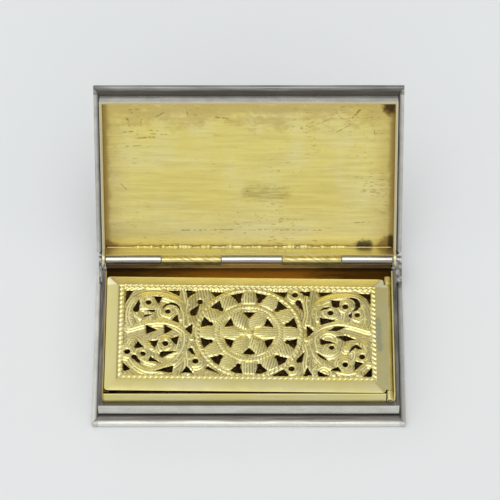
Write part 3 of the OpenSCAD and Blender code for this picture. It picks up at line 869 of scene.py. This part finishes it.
def engrave(points, hole_distance, eyes, sizes):
    """Depth in millimetres and the vein and carved values at points on the plate."""
    pitch = sizes.vein_pitch * PER_MM
    rope_pitch = sizes.rope_pitch * PER_MM
    x = points[:, 0] - ROSETTE[0]
    y = points[:, 1] - ROSETTE[1]
    radius = np.hypot(x, y)
    angle = np.arctan2(y, x)
    boss, petals, ring, fans, rope = ROSETTE_RADII

    # Scrolls either side: ridges along the middle lines with cuts that follow them
    away = scroll_distance(points, eyes)
    depth = SCROLL_DEPTH * ease(away, 0.12, 0.7)
    vein = away / pitch
    carved = np.ones_like(x)

    # Petals and fans, each domed across and lined along its axis or aslant
    for inner, outer, step in ((boss, petals, 60), (ring, fans, 30)):
        inside = (radius > inner) & (radius <= outer)
        turn = math.radians(step)
        index = np.round(angle / turn)
        slant = angle - index * turn
        along = radius * np.cos(slant)
        across = radius * np.sin(slant)
        half = np.maximum(radius * math.sin(turn / 2), 0.2)
        from_middle = np.abs(radius - (inner + outer) / 2)
        dome = PETAL_DEPTH * (np.abs(across) / half) ** 2 + 0.05 * ease(from_middle, 0.3, 1.3)
        lined = np.mod(index, 3) == 0
        depth = np.where(inside, dome, depth)
        vein = np.where(inside, np.where(lined, across, (along + across) * 0.71) / (pitch * 0.95), vein)
        gap = np.minimum(np.abs(radius - inner), np.abs(radius - outer))
        seam = np.minimum(gap, half - np.abs(across))
        carved = np.where(inside, ease(seam, 0.04, 0.16), carved)

    # Roped rings of the rosette: radii, number of twists, depth and swelling
    cords = ((petals, ring, 60, 0.06, 0.01), (fans, rope, 64, 0.03, 0.04))
    for inner, outer, count, sunk, swell in cords:
        inside = (radius > inner) & (radius <= outer)
        spot = (radius - (inner + outer) / 2) / ((outer - inner) / 2)
        twist = angle / math.tau * count + 0.3 * spot
        cord = sunk + 0.07 * spot ** 2 + swell * (0.5 - 0.5 * np.cos(math.tau * twist))
        depth = np.where(inside, cord, depth)
        vein = np.where(inside, twist, vein)
        carved = np.where(inside, 0.6 * ease(1 - np.abs(spot), 0.0, 0.3), carved)

    # Boss in the middle
    inside = radius <= boss
    depth = np.where(inside, 0.1 * ease(np.abs(radius - 0.22), 0.1, 0.3), depth)
    carved = np.where(inside, 0.0, carved)

    # Wriggle border round the field, and the plain frame outside it
    out_x = np.maximum(ROPE_LOW[0] - points[:, 0], points[:, 0] - ROPE_HIGH[0])
    out_y = np.maximum(ROPE_LOW[1] - points[:, 1], points[:, 1] - ROPE_HIGH[1])
    beyond = np.maximum(out_x, out_y)
    run = np.where(out_x > out_y, points[:, 1], points[:, 0])
    spot = beyond / ROPE_HALF
    twist = run / rope_pitch + 0.33 * spot
    bead = np.sqrt(np.clip(1 - spot ** 2, 0, 1)) * (0.5 + 0.5 * np.cos(math.tau * twist)) ** 0.7
    inside = np.abs(spot) <= 1
    depth = np.where(inside, BEAD_DEPTH * (1 - bead), depth)
    carved = np.where(beyond > -ROPE_HALF, 0.0, carved)
    outside = spot > 1
    depth = np.where(outside, FRAME_STEP * (1 - ease(beyond, ROPE_HALF, 0.42)), depth)

    depth = depth + CUT_ROUNDING * (1 - ease(hole_distance, 0.0, 0.16))
    return depth, vein, carved


def build_grille_mesh(sizes):
    """The pierced and engraved plate as a closed bmesh, with its free end raised as at rest."""
    holes = PlateHoles()
    cell = sizes.cell * PER_MM
    low = np.array(holes.flat_low.xy)
    high = np.array(holes.flat_high.xy)
    high[0] = max(high[0], ROPE_HIGH[0] + 0.3)
    counts = np.round((high - low) / cell).astype(int)
    middle = (low + high) / 2
    half = (high - low) / 2
    bm = bmesh.new()
    layers = {name: bm.verts.layers.float.new(name) for name in GRILLE_LAYERS}
    place = Matrix.Translation((*middle, holes.top)) @ Matrix.Diagonal((*half, 1, 1))
    bmesh.ops.create_grid(bm, x_segments=counts[0], y_segments=counts[1], size=1, matrix=place)
    bm.verts.ensure_lookup_table()
    border = {v for v in bm.verts if v.is_boundary}

    # Vertices near a piercing move onto its outline; the others are in metal or in a hole
    sides = {}
    distances = np.zeros(len(bm.verts))
    for v in bm.verts:
        wall, away = holes.nearest_wall(v.co.x, v.co.y)
        metal = holes.is_metal(v.co.x, v.co.y)
        if away < 0.5 * cell and v not in border:
            v.co.x = wall.x
            v.co.y = wall.y
            sides[v] = 0
        else:
            sides[v] = 1 if metal else -1
            distances[v.index] = away if metal else 0.0

    points = np.array([v.co[:2] for v in bm.verts])
    depth, vein, carved = engrave(points, distances, holes.eyes, sizes)
    over = np.maximum(points[:, 0] - holes.flat_high[0], 0.0)
    slope = holes.slope_drop / (holes.high[0] - holes.flat_high[0])
    sunk = 0.35 * ease(depth, 0.1, 0.2)
    values = dict(zip(GRILLE_LAYERS, (vein, carved, sunk)))
    for v in bm.verts:
        v.co.z = holes.top - (0.0 if v in border else depth[v.index]) - slope * over[v.index]
        for name, layer in layers.items():
            v[layer] = values[name][v.index]

    for face in [f for f in bm.faces if {sides[v] for v in f.verts} == {-1, 0, 1}]:
        on_rim = [v for v in face.verts if sides[v] == 0]
        if len(on_rim) == 2:
            bmesh.utils.face_split(face, on_rim[0], on_rim[1])
    empty = []
    for face in bm.faces:
        total = sum(sides[v] for v in face.verts)
        centre = face.calc_center_median()
        if total < 0 or total == 0 and not holes.is_metal(centre.x, centre.y):
            empty.append(face)
    bmesh.ops.delete(bm, geom=empty, context="FACES")

    # Sloped frame out to the plate's own outline
    rim = [e for e in bm.edges if e.is_boundary and all(v in border for v in e.verts)]
    for edge in rim:
        edge.smooth = any(all(v.co[i] < low[i] + 1e-4 for v in edge.verts) for i in range(2))
    made = bmesh.ops.extrude_edge_only(bm, edges=rim)["geom"]
    knuckle_low, knuckle_high = laid_box("grille_knuckle", LAID_GRILLE)
    right = knuckle_low.x - KNUCKLE_GAP
    outer_low = np.array(holes.low.xy)
    outer_high = np.array((right, holes.high.y))
    outer_middle = (outer_low + outer_high) / 2
    outer_half = (outer_high - outer_low) / 2
    straight = outer_half - FRAME_CORNER
    for v in (g for g in made if isinstance(g, bmesh.types.BMVert)):
        spot = (np.array(v.co[:2]) - middle) / half * outer_half
        past = np.abs(spot) - straight
        if past.min() > 0:
            past = past * FRAME_CORNER / max(np.linalg.norm(past), 1e-9)
            spot = np.sign(spot) * (straight + past)
        v.co.x, v.co.y = spot + outer_middle
        if v.co.x > right - 1e-4 and knuckle_low.y < v.co.y < knuckle_high.y:
            v.co.x = holes.high[0]
        v.co.z = holes.top - holes.slope_drop
        for layer in layers.values():
            v[layer] = 0.0

    # Thickness below the engraved face
    before = list(bm.verts)
    whole = [*before, *bm.edges, *bm.faces]
    bmesh.ops.extrude_face_region(bm, geom=whole, use_keep_orig=True)
    for v in before:
        v.co.z = holes.bottom
        v[layers["sunk"]] = 1.0
    bmesh.ops.recalc_face_normals(bm, faces=bm.faces)
    for edge in bm.edges:
        if edge.is_manifold and edge.calc_face_angle() > CUT_CREASE_ANGLE:
            edge.smooth = False
    for face in bm.faces:
        face.smooth = True
    bm.transform(LAID_GRILLE.inverted() @ Matrix.Scale(MM, 4))
    return bm


def build_sponge_mesh():
    """A thin pad with a soft, porous top that fills the place of the CAD sponge."""
    low, high = laid_box("sponge", STILL)
    middle = (low + high) / 2
    size = high - low
    bm = bmesh.new()
    place = Matrix.Translation(middle) @ Matrix.Diagonal((*size, 1))
    bmesh.ops.create_cube(bm, size=1, matrix=place)
    for axis, cuts in ((0, 60), (1, 30), (2, 2)):
        along = [e for e in bm.edges if abs((e.verts[0].co - e.verts[1].co).normalized()[axis]) > 0.9]
        bmesh.ops.subdivide_edges(bm, edges=along, cuts=cuts, use_grid_fill=True)
    for v in bm.verts:
        inward = middle - v.co
        reach = Vector(max(0.0, SPONGE_EDGE - (size[i] / 2 - abs(inward[i]))) for i in range(3))
        swell = noise.fractal(v.co * 0.55, 0.8, 2.0, 4) * 0.5 + 0.5
        swell = min(max(swell, 0.0), 1.0)
        v.co.z += math.copysign(0.12 * (reach.x ** 2 + reach.y ** 2), inward.z)
        if v.co.z > middle.z:
            v.co.z -= SPONGE_PORES * swell
        v.co.x += math.copysign(SPONGE_DRAW, inward.x) * reach.x * swell
        v.co.y += math.copysign(SPONGE_DRAW, inward.y) * reach.y * swell
    bm.transform(Matrix.Scale(MM, 4))
    return bm


def build_bead_mesh(sizes):
    """The lumpy solder line in the corner of the lid's panel and its back strip."""
    radius = sizes.bead_radius * PER_MM
    start = Vector((SOLDER_INSET - LID_INNER_HX, BACK_STRIP_Y + 0.02, PANEL_Z - SOLDER_DROP))
    step = Vector((-2 * start.x / SOLDER_STEPS, 0, 0))
    bm = bmesh.new()
    turn = Matrix.Translation(start) @ Matrix.Rotation(math.radians(90), 4, "Y")
    ring = bmesh.ops.create_circle(bm, cap_ends=True, segments=10, radius=radius, matrix=turn)["verts"]
    face = ring[0].link_faces[0]
    rings = [ring]
    for count in range(SOLDER_STEPS):
        made = bmesh.ops.extrude_face_region(bm, geom=[face])["geom"]
        if count > 0:
            bmesh.ops.delete(bm, geom=[face], context="FACES_ONLY")
        face = next(g for g in made if isinstance(g, bmesh.types.BMFace))
        ring = list(face.verts)
        bmesh.ops.translate(bm, verts=ring, vec=step)
        rings.append(ring)
    for ring in rings:
        middle = sum((v.co for v in ring), Vector()) / len(ring)
        lump = noise.noise(Vector((middle.x * 0.7, 3.1, 0)))
        lump += 0.6 * noise.noise(Vector((middle.x * 2.4, 0, 7.7)))
        left = (middle.x - SOLDER_RUN[0]) / SOLDER_FADE
        right = (SOLDER_RUN[1] - middle.x) / SOLDER_FADE
        most = min(max(min(left, right), SOLDER_THIN), SOLDER_THICK)
        swell = min(max(0.7 + 1.2 * lump, SOLDER_THIN), most)
        for v in ring:
            v.co = middle + (v.co - middle) * swell
    bmesh.ops.recalc_face_normals(bm, faces=bm.faces)
    for f in bm.faces:
        f.smooth = True
    bm.transform(SHUT_LID.inverted() @ Matrix.Scale(MM, 4))
    return bm


# Property groups


def colour_property(name, description, default):
    return FloatVectorProperty(
        name=name, description=description, subtype="COLOR", size=3, min=0.0, max=1.0, default=default
    )


def length_property(name, description, default_mm):
    return FloatProperty(
        name=name, description=description, unit="LENGTH", min=0.0, default=default_mm * MM
    )


def place_property(name, description, default):
    return FloatVectorProperty(
        name=name, description=description, subtype="TRANSLATION", unit="LENGTH", default=default
    )


class VinaigretteColours(bpy.types.PropertyGroup):
    """Colours of the metals, their age and the sponge"""

    silver: colour_property("Silver", "Clean silver", (0.87, 0.86, 0.81))
    silver_film: colour_property("Silver film", "Silver under a thin grey film", (0.42, 0.41, 0.37))
    # The tarnish colour is also laid on the hinge barrel as painted shade
    tarnish: colour_property("Tarnish", "Dark tarnish in the folds", (0.07, 0.063, 0.054))
    gilt: colour_property("Gilding", "Full yellow gilding", (0.75, 0.65, 0.20))
    # Also the painted highlight along the back band of the grille's frame
    gilt_bright: colour_property("Rubbed gilding", "Gilding kept bright by the lid", (1.0, 0.94, 0.58))
    gilt_pale: colour_property("Pale gilding", "Gilding worn thin over the silver", (0.78, 0.71, 0.36))
    gilt_worn: colour_property("Worn gilding", "Gilding nearly worn off the silver", (0.60, 0.54, 0.33))
    gilt_brown: colour_property("Brown gilding", "Gilding that has gone warm and brown", (0.52, 0.40, 0.13))
    # Also painted shade in the engraved cuts and on the hinge barrel
    gilt_shade: colour_property("Shaded gilding", "Olive tone in the lines and cuts", (0.42, 0.35, 0.12))
    gilt_warm: colour_property("Old gilding", "Gilding inside the base, gone brown", (0.80, 0.50, 0.12))
    patina: colour_property("Patina", "Brown patina along the edges of the gilding", (0.34, 0.21, 0.05))
    # The stain colour is also laid inside the base as painted shade
    stain: colour_property("Stain", "Dark stains in the corners of the lid", (0.09, 0.06, 0.03))
    verdigris: colour_property("Verdigris", "Grey-green stain on the grille's frame", (0.36, 0.41, 0.33))
    sponge: colour_property("Sponge", "Dry sponge", (0.30, 0.19, 0.07))
    sponge_pore: colour_property("Sponge pores", "Depth of the sponge's pores", (0.10, 0.06, 0.02))


class VinaigretteSizes(bpy.types.PropertyGroup):
    """Sizes of the wear and of the engraving"""

    edge_wear: length_property("Edge wear", "Rounding of the handled edges", 0.07)
    edge_steps: IntProperty(
        name="Edge steps", description="Faces across a rounded edge", min=1, max=6, default=3
    )
    bead_radius: length_property("Solder bead", "Radius of the solder line inside the lid", 0.26)
    cell: length_property("Grille cell", "Spacing of the engraved mesh", 0.09)
    vein_pitch: length_property("Vein pitch", "Distance between engraved veins", 0.33)
    rope_pitch: length_property("Rope pitch", "Length of one cut of the wriggle border", 0.62)


class VinaigretteStage(bpy.types.PropertyGroup):
    """Floor, light and camera"""

    floor: colour_property("Floor", "Pale table top", (0.815, 0.84, 0.84))
    floor_half: length_property("Floor", "Half the width of the table top", 1500)
    sky: FloatProperty(name="Sky", description="Strength of the light all round", min=0.0, default=0.97)
    key: FloatProperty(name="Lamp", description="Power of the lamp above", unit="POWER", default=0.4)
    lamp_size: length_property("Lamp size", "Width of the lamp above", 340)
    lamp_place: place_property("Lamp place", "Where the lamp hangs", (-0.01, -0.04, 0.55))
    camera_place: place_property("Camera place", "Where the camera stands", (0.00228, -0.22313, 0.34179))
    camera_turn: FloatVectorProperty(
        name="Camera turn", description="How the camera is turned", subtype="EULER", unit="ROTATION",
        default=(math.radians(34.752), math.radians(0.260), math.radians(0.158)),
    )
    lens: FloatProperty(name="Lens", description="Focal length in millimetres", default=251.8)


# Operators


class VINAIGRETTE_OT_case(bpy.types.Operator):
    """Wear and colour the silver case and its gilt fittings"""

    bl_idname = "vinaigrette.case"
    bl_label = "Case and hinges"

    def execute(self, context):
        colours = context.scene.vinaigrette_colours
        sizes = context.scene.vinaigrette_sizes
        materials = {
            "wall": build_silver_material(
                "Wall silver", colours, 0.6, dark_of=rim_darkening, slope=WALL_LEAN
            ),
            "moulding": build_silver_material("Moulding silver", colours, 0.05, side_film_and_shade=0.7),
            "barrel": build_silver_material(
                "Barrel silver", colours, 0.4, dark_of=barrel_shade, reflection_of=gilt_reflection_under_barrel
            ),
            "arm": build_silver_material("Cast silver", colours, 0.9, dark_of=pitting),
            "inside": build_inside_material(colours),
            "lid_moulding": build_silver_material(
                "Lid moulding silver", colours, 0.7, on_lid=True, dark_of=front_darkening, side_film_and_shade=0.9
            ),
            "lid": build_lid_material(colours),
            "bezel": build_gilt_material(
                "Bezel gilding", colours, 0.25, 0.75, edge_of=bezel_edge, slope=WALL_LEAN
            ),
            "knuckle": build_gilt_material("Knuckle gilding", colours, 0.3, 0.9, shade_of=file_marks),
            "small_knuckle": build_gilt_material(
                "Small hinge gilding", colours, 0.2, 0.9, shade_of=dulled
            ),
        }
        for finish, (slot, body, nodes) in FINISHES.items():
            wear = sizes.edge_wear / 2 if slot == "gilt" else sizes.edge_wear
            for node in nodes:
                add_worn_piece(node, body, materials[finish], wear, sizes.edge_steps)
        return {"FINISHED"}


class VINAIGRETTE_OT_solder(bpy.types.Operator):
    """Lay the lumpy solder line inside the lid"""

    bl_idname = "vinaigrette.solder"
    bl_label = "Solder line"

    def execute(self, context):
        colours = context.scene.vinaigrette_colours
        material = build_gilt_material("Solder gilding", colours, 0.4, 0.9, on_lid=True)
        bm = build_bead_mesh(context.scene.vinaigrette_sizes)
        add_piece("lid_solder_line", bm, material, "lid")
        return {"FINISHED"}


class VINAIGRETTE_OT_grille(bpy.types.Operator):
    """Engrave the pierced grille"""

    bl_idname = "vinaigrette.grille"
    bl_label = "Grille"

    def execute(self, context):
        material = build_grille_material(context.scene.vinaigrette_colours)
        bm = build_grille_mesh(context.scene.vinaigrette_sizes)
        add_piece("grille_engraved", bm, material, "grille", ["grille_plate"])
        return {"FINISHED"}


class VINAIGRETTE_OT_sponge(bpy.types.Operator):
    """Fill the box with its old sponge"""

    bl_idname = "vinaigrette.sponge"
    bl_label = "Sponge"

    def execute(self, context):
        material = build_sponge_material(context.scene.vinaigrette_colours)
        piece = add_piece("sponge_pad", build_sponge_mesh(), material, "base", ["sponge"])
        shade(piece, SPONGE_CREASE_ANGLE)
        return {"FINISHED"}


class VINAIGRETTE_OT_stage(bpy.types.Operator):
    """Set up the floor, the light and the camera"""

    bl_idname = "vinaigrette.stage"
    bl_label = "Stage"

    def execute(self, context):
        setup = context.scene.vinaigrette_stage
        self.add_floor(setup)
        self.add_sky(context, setup)
        self.add_lamp(setup)
        self.add_camera(context, setup)
        context.scene.view_settings.view_transform = "Standard"
        return {"FINISHED"}

    def add_floor(self, setup):
        material, tree = new_material("Pale floor")
        end_material(tree, {"Base Color": (*setup.floor, 1), "Roughness": 0.8, "Specular IOR Level": 0.2})
        bm = bmesh.new()
        bmesh.ops.create_grid(bm, x_segments=1, y_segments=1, size=setup.floor_half)
        add_mesh("Floor", bm, material)

    def add_sky(self, context, setup):
        world = bpy.data.worlds.new("Soft light")
        world.use_nodes = True
        tree = world.node_tree
        x, y, z = coordinates(tree, "Generated").split()
        low = z.fade(0.25, 0.75)
        dim = abs(x).smooth(0.35, 0.85) * low * 0.6
        level = z.smooth(0.0, 0.7, 0.62, 1.0) * (1.0 - dim)
        level = level + y.smooth(-0.9, -0.5, 0.35, 0.0) * low
        behind = y.smooth(0.1, 0.4)
        level = level * behind.mix(1.0, x.smooth(-0.3, 0.3, 1.18, 0.62))
        raised = z.smooth(0.55, 0.75) * z.fade(0.96, 0.985)
        level = level * (behind * raised).mix(1.0, 0.8)
        level = (level + z.smooth(0.965, 0.99, 0.0, 0.5)).at_least(0.2) * setup.sky
        background = tree.nodes["Background"].inputs
        background["Color"].default_value = (1, 1, 1, 1)
        tree.links.new(level.socket, background["Strength"])
        context.scene.world = world

    def add_lamp(self, setup):
        lamp = bpy.data.lights.new("Overhead light", "AREA")
        lamp.shape = "SQUARE"
        lamp.size = setup.lamp_size
        lamp.energy = setup.key
        holder = add_object("Overhead light", lamp)
        holder.location = setup.lamp_place
        holder.rotation_euler = (-holder.location).to_track_quat("-Z", "Y").to_euler()

    def add_camera(self, context, setup):
        lens = bpy.data.cameras.new("Camera")
        lens.lens = setup.lens
        lens.sensor_width = 36.0
        camera = add_object("Camera", lens)
        camera.location = setup.camera_place
        camera.rotation_euler = setup.camera_turn
        context.scene.camera = camera


class VINAIGRETTE_PT_panel(bpy.types.Panel):
    """Lists the steps that dress the vinaigrette"""

    bl_idname = "VINAIGRETTE_PT_panel"
    bl_label = "Vinaigrette"
    bl_space_type = "VIEW_3D"
    bl_region_type = "UI"
    bl_category = "Vinaigrette"

    def draw(self, context):
        for step in STEPS:
            self.layout.operator(step.bl_idname)


STEPS = [
    VINAIGRETTE_OT_case, VINAIGRETTE_OT_solder, VINAIGRETTE_OT_grille, VINAIGRETTE_OT_sponge,
    VINAIGRETTE_OT_stage,
]
GROUPS = {
    "vinaigrette_colours": VinaigretteColours,
    "vinaigrette_sizes": VinaigretteSizes,
    "vinaigrette_stage": VinaigretteStage,
}


def register():
    for name, group in GROUPS.items():
        bpy.utils.register_class(group)
        setattr(bpy.types.Scene, name, PointerProperty(type=group))
    for step in STEPS:
        bpy.utils.register_class(step)
    bpy.utils.register_class(VINAIGRETTE_PT_panel)


def unregister():
    bpy.utils.unregister_class(VINAIGRETTE_PT_panel)
    for step in reversed(STEPS):
        bpy.utils.unregister_class(step)
    for name, group in reversed(GROUPS.items()):
        delattr(bpy.types.Scene, name)
        bpy.utils.unregister_class(group)


def main():
    register()
    build_effect_groups()
    bpy.ops.vinaigrette.case()
    bpy.ops.vinaigrette.solder()
    bpy.ops.vinaigrette.grille()
    bpy.ops.vinaigrette.sponge()
    bpy.ops.vinaigrette.stage()


if __name__ == "__main__":
    main()
